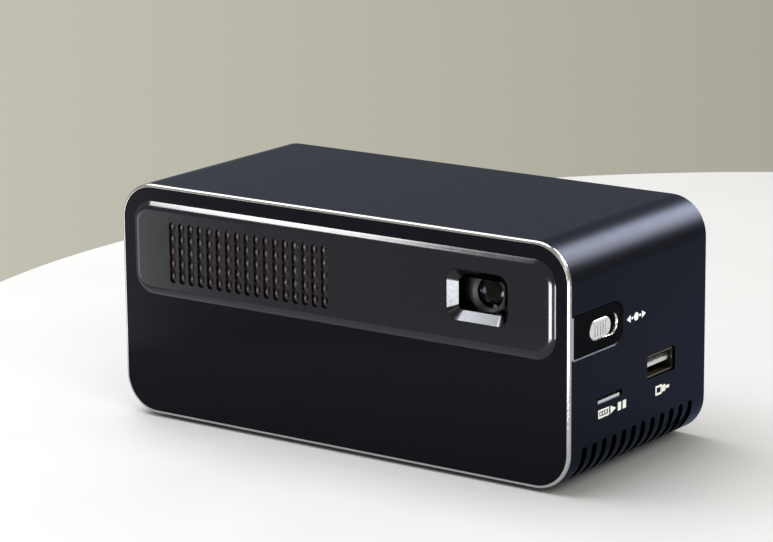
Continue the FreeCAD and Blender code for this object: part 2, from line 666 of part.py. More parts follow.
def lens_retainer():
    """Threaded ring that holds the front element, stepped like a light baffle."""
    ring = axis_rod(5.0, (BARREL_NOSE_Y + 0.05, BARREL_NOSE_Y + 1.0))
    ring = ring.cut(axis_rod(4.6, (BARREL_NOSE_Y, BARREL_NOSE_Y + 0.5)))
    return ring.cut(axis_rod(4.1, (BARREL_NOSE_Y, BARREL_NOSE_Y + 2)))


def front_lens():
    """Front element, turned down at its rim to sit behind the retaining ring."""
    seat = axis_rod(6, (BARREL_NOSE_Y, BARREL_NOSE_Y + 1.0))
    seat = seat.cut(axis_rod(4.1, (BARREL_NOSE_Y, BARREL_NOSE_Y + 2)))
    glass_ys = (BARREL_NOSE_Y + 0.55, BARREL_NOSE_Y + 3.0)
    return lens_y(LENS_X, LENS_Z, glass_ys, 5.0, 14.0).cut(seat)


def inner_lenses():
    """Middle and rear elements of the projection lens."""
    return group([lens_y(LENS_X, LENS_Z, (-22.9, -20.0), 6.6, 18.0),
                  lens_y(LENS_X, LENS_Z, (-16.0, -12.4), 6.6, 18.0)])


# ---------------------------------------------------------------- light engine
def engine_housing():
    """Cast box that holds the optics, open at the top, with a window for each part."""
    shell = block(ENGINE_X, ENGINE_Y, ENGINE_Z)
    inner = [(pair[0] + ENGINE_WALL, pair[1] - ENGINE_WALL) for pair in (ENGINE_X, ENGINE_Y)]
    hollow = block(inner[0], inner[1], (ENGINE_Z[0] + ENGINE_WALL, ENGINE_Z[1] + 1))
    shell = shell.cut(hollow)
    lugs = [rod_z(3.0, (ENGINE_Z[0], ENGINE_Z[0] + 3.0), x, y) for x, y in ENGINE_POSTS]
    shell = fuse([shell] + lugs)
    rear = (ENGINE_Y[1] - 3, ENGINE_Y[1] + 1)
    tools = [axis_rod(8.2, (ENGINE_Y[0] - 1, ENGINE_Y[0] + 3))]
    tools += [rod_y(SCREW_R, (ENGINE_Y[0] - 1, ENGINE_Y[0] + 3), x, z) for x, z in mount_screw_points()]
    tools.append(block(around(LENS_X, 13.0), rear, around(LENS_Z, 9.0)))
    tools += [rod_y(3.0, rear, x, LENS_Z) for x in (RED_X, BLUE_X)]
    tools.append(rod_x(3.0, (ENGINE_X[0] - 1, ENGINE_X[0] + 3), BEAM_Y, LENS_Z))
    tools += [rod_z(SCREW_R, (ENGINE_Z[0] - 1, ENGINE_Z[0] + 4), x, y) for x, y in ENGINE_POSTS]
    return shell.cut(group(tools))


ENGINE_POSTS = [(11.5, -5.0), (62.5, -5.0), (38.0, 19.8)]


def engine_lid():
    lid = block(ENGINE_X, ENGINE_Y, (ENGINE_Z[1], ENGINE_Z[1] + 1.2))
    rim = block((ENGINE_X[0] + 1.6, ENGINE_X[1] - 1.6), (ENGINE_Y[0] + 1.6, ENGINE_Y[1] - 1.6),
                (ENGINE_Z[1] - 1.0, ENGINE_Z[1]))
    return fuse([lid, rim])


def tir_prisms():
    """Pair of wedge prisms with a thin air gap, which folds the light onto the imaging chip."""
    half = 6.0
    xs = around(LENS_X, 2 * half)
    ys = (-1.5, 10.5)
    zs = around(LENS_Z, 2 * half)
    gap = 0.1

    def wedge(corners):
        points = [vec(x, y, zs[0]) for x, y in corners]
        outline = Part.makePolygon(points + points[:1])
        return Part.Face(outline).extrude(vec(0, 0, zs[1] - zs[0]))

    front = wedge([(xs[0], ys[0]), (xs[1], ys[0]), (xs[1], ys[1] - gap)])
    back = wedge([(xs[0], ys[0] + gap), (xs[1], ys[1]), (xs[0], ys[1])])
    return group([front, back])


def dmd_chip():
    """Imaging chip: ceramic package with its window in the engine's rear opening."""
    package = block(around(LENS_X, 18.0), (ENGINE_Y[1], 18.6), around(LENS_Z, 9.6))
    window = block(around(LENS_X, 12.0), (ENGINE_Y[1] - 1.2, ENGINE_Y[1]), around(LENS_Z, 7.6))
    return fuse([package, window])


def dmd_board():
    return block((36.0, 58.0), (18.6, 19.8), (42.8, 58.0)).cut(rod_y(1.1, (18, 21), 56.0, 56.0))


def lenslet_plate():
    """Array of small domes that evens out the light."""
    plate = block((35.5, 36.5), around(BEAM_Y, 9.0), around(LENS_Z, 9.0))
    domes = []
    for i in range(4):
        for j in range(4):
            y = BEAM_Y + (i - 1.5) * 2.1
            z = LENS_Z + (j - 1.5) * 2.1
            ball = Part.makeSphere(1.6, vec(37.5 - 1.6, y, z))
            domes.append(ball.common(block((36.5, 38.0), around(y, 2.0), around(z, 2.0))))
    return fuse([plate] + domes)


def dichroic_mirrors():
    """Two coated plates at 45 degrees that add the red and the blue light."""
    plates = []
    for x in (RED_X, BLUE_X):
        plate = block(around(x, 8.0), around(BEAM_Y, 0.7), around(LENS_Z, 8.4))
        plate.rotate(vec(x, BEAM_Y, LENS_Z), vec(0, 0, 1), -45)
        plates.append(plate)
    return group(plates)


def condenser_lenses():
    """Lenslet plate and one collimating lens for each lamp."""
    lenses = [lens_y(x, LENS_Z, (11.0, 14.0), 3.6, 5.0) for x in (RED_X, BLUE_X)]
    green = lens_y(0, LENS_Z, (0, 2.2), 3.6, 6.0)
    green.rotate(vec(0, 0, LENS_Z), vec(0, 0, 1), -90)
    green.translate(vec(ENGINE_X[0] + 1.8, BEAM_Y, 0))
    return group(lenses + [green, lenslet_plate()])


def led_module_back(x):
    """Lamp on its copper board, fixed outside the engine's back wall and shining in."""
    board = block(around(x, LED_BOARD), (ENGINE_Y[1], ENGINE_Y[1] + LED_T), around(LENS_Z, LED_BOARD))
    lamp = rod_y(1.6, (ENGINE_Y[1] - 1.0, ENGINE_Y[1]), x, LENS_Z)
    return fuse([board, lamp])


def red_led():
    return led_module_back(RED_X)


def blue_led():
    return led_module_back(BLUE_X)


def green_led():
    board = block((ENGINE_X[0] - LED_T, ENGINE_X[0]), around(BEAM_Y, LED_BOARD), around(LENS_Z, LED_BOARD))
    lamp = rod_x(1.6, (ENGINE_X[0], ENGINE_X[0] + 1.0), BEAM_Y, LENS_Z)
    return fuse([board, lamp])


# ---------------------------------------------------------------- cooling
PIPE_X = 5.0
PIPE_Y = (ENGINE_Y[1] + LED_T + PIPE_R, -21.0)


def heat_pipe():
    """Copper pipe from the lamps' boards round to the fins."""
    route = [vec(34.8, PIPE_Y[0], LENS_Z), vec(PIPE_X, PIPE_Y[0], LENS_Z),
             vec(PIPE_X, PIPE_Y[1], LENS_Z), vec(SINK_X[0] - 0.5, PIPE_Y[1], LENS_Z)]
    return tube_along(route, 8.0, PIPE_R)


def led_heat_block():
    """Copper block between the green lamp's board and the heat pipe."""
    return block((PIPE_X + PIPE_R, ENGINE_X[0] - LED_T), around(BEAM_Y, LED_BOARD), around(LENS_Z, LED_BOARD))


def heat_sink():
    """Fin stack behind the grille."""
    plates = [block(SINK_X, SINK_Y, (SINK_Z[0], SINK_Z[0] + 0.8)),
              block(SINK_X, SINK_Y, (SINK_Z[1] - 0.8, SINK_Z[1]))]
    count = int((SINK_X[1] - SINK_X[0]) / FIN_PITCH) + 1
    fins = []
    for i in range(count):
        x = min(SINK_X[0] + i * FIN_PITCH, SINK_X[1] - FIN_T)
        fins.append(block((x, x + FIN_T), SINK_Y, SINK_Z))
    legs = [rod_z(2.0, (BOARD_Z[1], SINK_Z[0]), x, PIPE_Y[1]) for x in (-50.0, -8.0)]
    return fuse(plates + fins + legs).cut(rod_x(PIPE_R, (SINK_X[0] - 1, SINK_X[1] + 1), PIPE_Y[1], LENS_Z))


def fan_housing():
    """Blower casing, open at the top and towards the fins."""
    x, y = FAN_CENTRE
    shell = rounded_prism("xy", FAN_X, FAN_Y, 6.0, FAN_Z)
    legs = [rod_z(2.0, (DRIVER_Z[1], FAN_Z[0]), *spot) for spot in FAN_LEGS]
    shell = fuse([shell] + legs)
    inside = (FAN_Z[0] + 1.0, FAN_Z[1] + 1)
    mouth = (FAN_X[0] + 2.0, FAN_X[1] - 2.0)
    shell = shell.cut(rod_z(FAN_CAVITY_R, inside, x, y))
    shell = shell.cut(block(mouth, (FAN_Y[0] - 1, y - 8.0), inside))
    return shell.cut(rod_z(3.0, (FAN_Z[0] - 1, FAN_Z[0] + 2), x, y))


def fan_cover():
    x, y = FAN_CENTRE
    plate = rounded_prism("xy", FAN_X, FAN_Y, 6.0, (FAN_Z[1], FAN_Z[1] + 1.0))
    return plate.cut(rod_z(11.0, (FAN_Z[1] - 1, FAN_Z[1] + 2), x, y))


def fan_bearing():
    """Sleeve bearing pressed into the housing's floor."""
    x, y = FAN_CENTRE
    sleeve = rod_z(3.0, (FAN_Z[0], FAN_Z[0] + 6.5), x, y)
    return sleeve.cut(rod_z(SHAFT_R + 0.04, (FAN_Z[0] + 0.6, FAN_Z[0] + 8), x, y))


def fan_shaft():
    x, y = FAN_CENTRE
    return rod_z(SHAFT_R, (FAN_Z[0] + 0.8, FAN_Z[0] + 9.0), x, y)


def fan_rotor():
    """Hub cup with curved-back blades."""
    x, y = FAN_CENTRE
    hub = rod_z(HUB_R, (FAN_Z[0] + 1.8, FAN_Z[0] + 10.0), x, y)
    hub = hub.cut(rod_z(HUB_R - 1.0, (FAN_Z[0] + 1, FAN_Z[0] + 9.0), x, y))
    floor_ring = rod_z(ROTOR_R, (FAN_Z[0] + 1.8, FAN_Z[0] + 2.6), x, y)
    floor_ring = floor_ring.cut(rod_z(HUB_R - 0.5, (FAN_Z[0] + 1, FAN_Z[0] + 3), x, y))
    blades = []
    for i in range(BLADE_COUNT):
        blade = block((x + HUB_R - 0.4, x + ROTOR_R - 0.6), around(y, 0.7), (FAN_Z[0] + 2.0, FAN_Z[0] + 10.0))
        blade.rotate(vec(x + HUB_R, y, 0), vec(0, 0, 1), -24)
        blade.rotate(vec(x, y, 0), vec(0, 0, 1), 360.0 * i / BLADE_COUNT)
        blades.append(blade)
    rim = rod_z(ROTOR_R, (FAN_Z[0] + 1, FAN_Z[0] + 11), x, y)
    return fuse([hub, floor_ring] + [blade.common(rim) for blade in blades])


# ---------------------------------------------------------------- speaker
def speaker_frame():
    """Driver frame and magnet at the -X end, facing out through the side's holes."""
    flange = rod_x(14.0, (-71.2, -70.2), 0, SPEAKER_Z)
    basket = rod_x(12.6, (-70.2, -65.0), 0, SPEAKER_Z)
    magnet = rod_x(8.0, (-65.0, -60.0), 0, SPEAKER_Z)
    frame = fuse([flange, basket, magnet])
    return frame.cut(rod_x(11.8, (-72, -66.0), 0, SPEAKER_Z))


def speaker_cone():
    """Paper cone and dust cap."""
    outer = Part.makeCone(11.6, 4.5, 3.2, vec(-70.4, 0, SPEAKER_Z), vec(1, 0, 0))
    inner = Part.makeCone(11.0, 3.9, 3.2, vec(-70.7, 0, SPEAKER_Z), vec(1, 0, 0))
    cap = rod_x(4.5, (-67.6, -67.2), 0, SPEAKER_Z)
    return fuse([outer.cut(inner), cap])


# ---------------------------------------------------------------- boards, battery, chassis
DRIVER_POSTS = [(-51.5, -7.5), (5.5, -7.5), (-51.5, 16.5), (5.5, 16.5)]
BOARD_POSTS = FEET + [(0.0, -24.0), (0.0, 24.0)]


def main_board():
    board = block(BOARD_X, BOARD_Y, BOARD_Z)
    holes = [rod_z(SCREW_R, (BOARD_Z[0] - 1, BOARD_Z[1] + 1), x, y) for x, y in BOARD_POSTS]
    return board.cut(group(holes))


def board_chips():
    """Processor, memory, storage, power controller and the radio module's can."""
    sizes = [(-20.0, -2.0, 14.0, 14.0, 1.5), (-2.0, -6.0, 8.0, 11.0, 1.1), (-2.0, 8.0, 8.0, 11.0, 1.1),
             (-38.0, -2.0, 12.0, 10.0, 1.1), (24.0, -14.0, 7.0, 7.0, 0.9), (-40.0, 16.0, 15.0, 12.0, 2.2),
             (44.0, 14.0, 6.0, 6.0, 0.9), (24.0, 6.0, 9.0, 6.0, 3.0)]
    return group([block(around(x, w), around(y, d), (BOARD_Z[1], BOARD_Z[1] + h)) for x, y, w, d, h in sizes])


def driver_board():
    """Lamp driver board with its coils, on posts above the main board."""
    board = block(DRIVER_X, DRIVER_Y, DRIVER_Z)
    holes = [rod_z(SCREW_R, (DRIVER_Z[0] - 1, DRIVER_Z[1] + 1), x, y) for x, y in DRIVER_POSTS]
    coil_z = (DRIVER_Z[1], DRIVER_Z[1] + 4.0)
    coils = [block(around(x, 7.0), around(-2.0, 7.0), coil_z) for x in (-20.0, -10.0, 0.0)]
    cans = [rod_z(3.0, (DRIVER_Z[1], DRIVER_Z[1] + 6.5), x, 8.0) for x in (-22.0, 0.0)]
    return fuse([board.cut(group(holes))] + coils + cans)


def board_standoffs():
    """Brass spacers between the main board, the driver board and the light engine."""
    spacers = []
    for spots, top in ((DRIVER_POSTS, DRIVER_Z[0]), (ENGINE_POSTS, ENGINE_Z[0])):
        for x, y in spots:
            spacer = rod_z(2.2, (BOARD_Z[1], top), x, y)
            spacers.append(spacer.cut(rod_z(SCREW_R, (top - 5, top + 1), x, y)))
    return group(spacers)


def board_screws():
    """Small pan-head screws: main board, driver board, engine lugs and lens flange."""
    screws = []
    for x, y in BOARD_POSTS:
        head = (BOARD_Z[1], BOARD_Z[1] + 1.3)
        screws.append(screw_z(x, y, head, (BOARD_Z[0] - 4, BOARD_Z[1]), 1.9, SCREW_R))
    for x, y in DRIVER_POSTS:
        head = (DRIVER_Z[1], DRIVER_Z[1] + 1.3)
        screws.append(screw_z(x, y, head, (DRIVER_Z[0] - 4, DRIVER_Z[1]), 1.9, SCREW_R))
    for x, y in ENGINE_POSTS:
        top = ENGINE_Z[0] + 3.0
        screws.append(screw_z(x, y, (top, top + 1.3), (ENGINE_Z[0] - 4, top), 1.9, SCREW_R))
    for x, z in mount_screw_points():
        head = rod_y(1.7, (-11.2, -10.0), x, z)
        screws.append(head.fuse(rod_y(SCREW_R, (-10.0, -6.6), x, z)))
    return group(screws)


def battery_cells():
    """Two flat lithium pouch cells, one each side of the tripod nut."""
    cells = []
    for side in (-1, 1):
        xs = sorted((side * CELL_X[0], side * CELL_X[1]))
        cells.append(rounded_prism("xz", xs, CELL_Z, 3.0, (-CELL_Y, CELL_Y)))
    return group(cells)


def cables():
    """Wires from the cells, fan and speaker, and the imaging chip's flat flexible cable."""
    flex = block((50.0, 56.0), (19.8, 20.0), (BOARD_Z[1], 44.0))
    fan_x = FAN_X[1] + 5.0
    fan_route = [vec(FAN_X[1], 20.0, 46.0), vec(fan_x, 20.0, 46.0), vec(fan_x, 20.0, BOARD_Z[1])]
    speaker_route = [vec(-60.0, 0, SPEAKER_Z), vec(-57.0, 0, SPEAKER_Z), vec(-57.0, 0, BOARD_Z[1])]
    wires = [flex, tube_along(fan_route, 3.5, 0.7), tube_along(speaker_route, 2.4, 0.7)]
    height = (CELL_Z[0] + CELL_Z[1]) / 2
    for side in (-1, 1):
        for y in (12.0, 15.0):
            route = [vec(side * CELL_X[0], y, height), vec(side * 9.0, y, height),
                     vec(side * 9.0, y, BOARD_Z[0])]
            wires.append(tube_along(route, 3.0, 0.6))
    return group(wires)


def chassis_base():
    """Plastic tray: the cells' bed, the boards' posts and the tripod nut's boss."""
    tray = block((-CHASSIS_X, CHASSIS_X), CHASSIS_Y, CHASSIS_Z)
    posts = [rod_z(POST_R, (CHASSIS_Z[0], BOARD_Z[0]), x, y) for x, y in BOARD_POSTS if x]
    middle_posts = [rod_z(POST_R, (CHASSIS_Z[0], BOARD_Z[0]), x, y) for x, y in BOARD_POSTS if not x]
    boss = rod_z(TRIPOD_NUT_R + 2.5, (CHASSIS_Z[0], TRIPOD_MOUTH + TRIPOD_DEPTH + 2.0), 0, 0)
    fence_z = (CHASSIS_Z[0], 9.0)
    fences = [block(around(side * (CELL_X[0] - 1.0), 1.6), (-20.0, 10.0), fence_z) for side in (-1, 1)]
    tray = fuse([tray, boss] + posts + middle_posts + fences)
    tools = [rod_z(TRIPOD_NUT_R, (0, TRIPOD_MOUTH + TRIPOD_DEPTH + 1.2), 0, 0)]
    for x, y in BOARD_POSTS:
        tools.append(rod_z(SCREW_R, (BOARD_Z[0] - 4, BOARD_Z[0] + 1), x, y))
    for x, y in FEET:
        tools.append(rod_z(SCREW_R, (0, 9.0), x, y))
    return tray.cut(group(tools))


def tripod_nut():
    """Brass insert with a blind camera thread that opens downwards."""
    nut = rod_z(TRIPOD_NUT_R, (TRIPOD_MOUTH, TRIPOD_MOUTH + TRIPOD_DEPTH + 1.2), 0, 0)
    return nut.cut(rod_z(TRIPOD_R, (0, TRIPOD_MOUTH + TRIPOD_DEPTH), 0, 0))


def rubber_feet():
    feet = []
    for x, y in FEET:
        foot = rod_z(FOOT_R, (0, Z_BOTTOM + FOOT_SUNK), x, y)
        rim = [e for e in foot.Edges if e.BoundBox.ZMax < 0.01]
        feet.append(foot.makeFillet(0.4, rim))
    return group(feet)


def case_screws():
    """Four screws hidden under the feet, and the back panel's four, into the sleeve's channels."""
    head_z = (Z_BOTTOM + FOOT_SUNK, Z_BOTTOM + 1.2)
    screws = [screw_z(x, y, head_z, (head_z[1], 8.9), 2.3, SCREW_R) for x, y in FEET]
    for x, z in CHANNELS:
        head = rod_y(1.9, (PANEL_OUT - 1.0, PANEL_OUT - 0.05), x, z)
        shank = rod_y(SCREW_R, (PANEL_IN - 9, PANEL_OUT - 1.0), x, z)
        drive = [block(around(x, 2.2), (PANEL_OUT - 0.5, PANEL_OUT), around(z, 0.5)),
                 block(around(x, 0.5), (PANEL_OUT - 0.5, PANEL_OUT), around(z, 2.2))]
        screws.append(head.fuse(shank).cut(group(drive)))
    return group(screws)


# ---------------------------------------------------------------- ports
def usb_shell():
    """Stamped shell of the full-size USB port, on two feet."""
    ys = around(USB_Y, USB_SIZE[0])
    zs = around(USB_Z, USB_SIZE[1])
    xs = (57.5, X_SIDE - 0.6)
    wall = 0.35
    shell = rounded_prism("yz", ys, zs, 0.5, xs)
    hollow = rounded_prism("yz", (ys[0] + wall, ys[1] - wall), (zs[0] + wall, zs[1] - wall), 0.3,
                           (xs[0] + wall, xs[1] + 1))
    feet = [block((60.0, 68.0), (y, y + 0.6), (BOARD_Z[1], zs[0])) for y in (ys[0] + 1.0, ys[1] - 1.6)]
    return fuse([shell.cut(hollow)] + feet)


def port_tongues():
    """Plastic tongues that carry the contacts in the USB and HDMI ports, with their root blocks."""
    return group([usb_tongue(), hdmi_tongue()])


def usb_tongue():
    """Tongue with a chamfered nose, on its root block."""
    ys = around(USB_Y, USB_SIZE[0] - 1.4)
    tongue = block((60.0, X_SIDE - 1.6), ys, (USB_Z + 0.1, USB_Z + 1.95))
    nose = [e for e in tongue.Edges if e.BoundBox.XMin > X_SIDE - 1.7 and e.BoundBox.YLength > 1]
    root = block((57.85, 60.0), ys, around(USB_Z, USB_SIZE[1] - 0.9))
    return fuse([tongue.makeChamfer(0.42, nose), root])


def micro_sd_socket():
    """Metal card socket behind the sleeve, with a lip that reaches out under the card."""
    xs = (56.0, X_INSIDE)
    socket = block(xs, around(SD_Y, 14.4), (BOARD_Z[1], BOARD_Z[1] + 1.9))
    mouth = block((xs[0] + 1.5, xs[1] + 1), around(SD_Y, SD_CARD[0]), (SD_Z, SD_Z + SD_CARD[1]))
    lip_z = (SD_Z - SD_OPENING[1] / 2 + FIT_GAP, SD_Z)
    lip = block((X_INSIDE - 1, X_SIDE - SD_LIP_SUNK), around(SD_Y, SD_LIP_W), lip_z)
    return fuse([socket, lip]).cut(mouth)


def hdmi_shell():
    """Stamped shell of the HDMI port: square above, drawn in below."""
    w, h = HDMI_SIZE
    wall = 0.4

    def outline(margin, ys):
        half = w / 2 - margin
        top = HDMI_Z + h / 2 - margin
        low = HDMI_Z - h / 2 + margin
        corners = [(-half, top), (half, top), (half, low + 1.9), (half - 1.7, low),
                   (1.7 - half, low), (-half, low + 1.9)]
        points = [vec(HDMI_X + x, ys[0], z) for x, z in corners]
        return Part.Face(Part.makePolygon(points + points[:1])).extrude(vec(0, ys[1] - ys[0], 0))

    shell = outline(0, (22.0, PANEL_OUT - 0.1)).cut(outline(wall, (22.0 + wall, PANEL_OUT + 1)))
    foot_z = (BOARD_Z[1], HDMI_Z - h / 2)
    feet = [block((x, x + 0.6), (24.0, 31.0), foot_z) for x in (HDMI_X - 5.0, HDMI_X + 4.4)]
    return fuse([shell] + feet)


def hdmi_tongue():
    tongue = block(around(HDMI_X, 11.0), (25.0, PANEL_OUT - 1.2), (HDMI_Z, HDMI_Z + 1.4))
    root = block(around(HDMI_X, 9.0), (22.4, 25.0), (HDMI_Z - 2.2, HDMI_Z + 2.2))
    return fuse([tongue, root])


def audio_jack():
    """Headphone socket with a round nose in the back panel."""
    socket = block(around(AUDIO_X, 6.4), (20.0, PANEL_IN), (BOARD_Z[1], AUDIO_Z + 3.2))
    nose = rod_y(3.0, (PANEL_IN, PANEL_OUT), AUDIO_X, AUDIO_Z)
    return fuse([socket, nose]).cut(rod_y(AUDIO_BORE_R, (PANEL_OUT - 12.0, PANEL_OUT + 1), AUDIO_X, AUDIO_Z))


def dc_jack():
    """Power inlet: its housing and its centre pin."""
    case = block(around(DC_X, 9.0), (20.5, PANEL_IN), (BOARD_Z[1], 32.6))
    nose = rod_y(4.0, (PANEL_IN, PANEL_OUT), DC_X, DC_Z)
    housing = fuse([case, nose]).cut(rod_y(DC_BORE_R, (PANEL_OUT - 10.0, PANEL_OUT + 1), DC_X, DC_Z))
    return group([housing, rod_y(1.0, (PANEL_OUT - 10.0, PANEL_OUT - 1.0), DC_X, DC_Z)])


# ---------------------------------------------------------------- controls
KEY_BOARD_Y = (24.6, 26.0)
SWITCH_FRONT = 28.6


def power_button():
    """Round button with a flange behind the panel and a stem to the switch."""
    cap = rod_y(BUTTON_R, (PANEL_IN - 0.1, Y_BACK - 0.05), BUTTON_X, BUTTON_Z)
    rim = [e for e in cap.Edges if e.BoundBox.YMin > Y_BACK - 0.06]
    cap = cap.makeFillet(0.3, rim)
    flange = rod_y(BUTTON_R + 1.0, (PANEL_IN - 0.8, PANEL_IN - 0.1), BUTTON_X, BUTTON_Z)
    stem = rod_y(1.5, (SWITCH_FRONT + 0.8, PANEL_IN - 0.8), BUTTON_X, BUTTON_Z)
    return fuse([cap, flange, stem])


def switch_plunger():
    return rod_y(1.2, (SWITCH_FRONT - 0.6, SWITCH_FRONT + 0.8), BUTTON_X, BUTTON_Z)


def power_switch():
    """Tactile switch body on the key board."""
    body = block(around(BUTTON_X, 6.0), (KEY_BOARD_Y[1], SWITCH_FRONT), around(BUTTON_Z, 6.0))
    return body.cut(rod_y(1.26, (SWITCH_FRONT - 1.2, SWITCH_FRONT + 1), BUTTON_X, BUTTON_Z))


def key_board():
    """Small board for the switch, the infrared receiver and the status lamp."""
    board = block((-48.5, -17.5), KEY_BOARD_Y, (28.0, 40.5))
    receiver = block(around(IR_X, 4.5), (KEY_BOARD_Y[1], 29.5), around(BUTTON_Z, 4.5))
    lamp = block(around(LIGHT_X, 1.6), (KEY_BOARD_Y[1], 26.8), around(BUTTON_Z, 1.2))
    return fuse([board, receiver, lamp])


def ir_window():
    """Dark infrared lens in the back panel."""
    lens = rod_y(2.5, (PANEL_IN, PANEL_OUT), IR_X, BUTTON_Z)
    flange = rod_y(3.4, (PANEL_IN - 0.7, PANEL_IN), IR_X, BUTTON_Z)
    return fuse([lens, flange])


def status_light_pipe():
    pipe = rod_y(1.0, (27.0, PANEL_OUT), LIGHT_X, BUTTON_Z)
    collar = rod_y(1.6, (PANEL_IN - 0.7, PANEL_IN), LIGHT_X, BUTTON_Z)
    return fuse([pipe, collar])


# ---------------------------------------------------------------- one STEP file for each node
NODES = [body_sleeve, front_trim_ring, front_panel, lens_fascia, grille_mesh, lens_bezel, back_panel,
         focus_tab, focus_slot_tray, focus_knob, focus_carriage, focus_ring, lens_mount, lens_barrel,
         lens_retainer, front_lens, inner_lenses, engine_housing, engine_lid, tir_prisms, dmd_chip,
         dmd_board, condenser_lenses, dichroic_mirrors, red_led, green_led, blue_led, led_heat_block,
         heat_pipe, heat_sink, fan_housing, fan_cover, fan_bearing, fan_shaft, fan_rotor,
         speaker_frame, speaker_cone, main_board, board_chips, driver_board, board_standoffs,
         board_screws, battery_cells, cables, chassis_base, tripod_nut, rubber_feet, case_screws,
         usb_shell, port_tongues, micro_sd_socket, hdmi_shell, audio_jack, dc_jack, power_button,
         switch_plunger, power_switch, key_board, ir_window, status_light_pipe]


def main():
    os.makedirs("parts", exist_ok=True)
    for make in NODES:
        shape = make()
        name = make.__name__
        print(name, len(shape.Solids), "solids", shape.isValid(), round(shape.Volume, 1))
        shape.exportStep("parts/" + name + ".step")


main()
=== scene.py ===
import json
import math

import bpy
from mathutils import Matrix, Vector


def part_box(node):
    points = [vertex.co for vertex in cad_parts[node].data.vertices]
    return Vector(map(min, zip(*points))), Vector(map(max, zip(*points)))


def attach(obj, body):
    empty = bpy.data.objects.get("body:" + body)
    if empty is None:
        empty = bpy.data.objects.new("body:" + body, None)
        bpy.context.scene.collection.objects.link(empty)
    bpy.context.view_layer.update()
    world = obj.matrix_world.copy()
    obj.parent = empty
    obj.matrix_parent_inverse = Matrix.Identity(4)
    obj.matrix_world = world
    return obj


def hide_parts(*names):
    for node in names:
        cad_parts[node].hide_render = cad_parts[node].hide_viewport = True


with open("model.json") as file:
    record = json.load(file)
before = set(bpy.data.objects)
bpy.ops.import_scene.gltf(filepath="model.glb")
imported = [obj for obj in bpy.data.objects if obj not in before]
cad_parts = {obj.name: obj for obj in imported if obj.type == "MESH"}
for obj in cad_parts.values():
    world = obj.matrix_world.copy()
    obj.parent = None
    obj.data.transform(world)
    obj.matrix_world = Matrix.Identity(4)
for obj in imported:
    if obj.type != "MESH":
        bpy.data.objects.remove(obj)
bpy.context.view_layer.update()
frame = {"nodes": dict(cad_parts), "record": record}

# The looks of a pocket home projector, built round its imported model.
# Metres, +Z up; the lens looks along -Y.
NODES = frame["nodes"]
MM = 0.001

# Camera, as azimuth and elevation round the model
AZIMUTH = math.radians(35.73)
ELEVATION = math.radians(13.58)
ROLL = math.radians(-0.56)
DISTANCE = 0.8987
FOCAL_MM = 152.25
AIM = Vector((-0.01085, 0.00444, 0.04082))


# ---------------------------------------------------------------- materials
MASK_MIDDLE = (0.3, 0.7)    # where nearly all of a noise mask's values lie
BLAST_GRAIN = 0.16 * MM
LENS_IOR = 1.22             # lower than real glass, as its coating kills most of the reflection


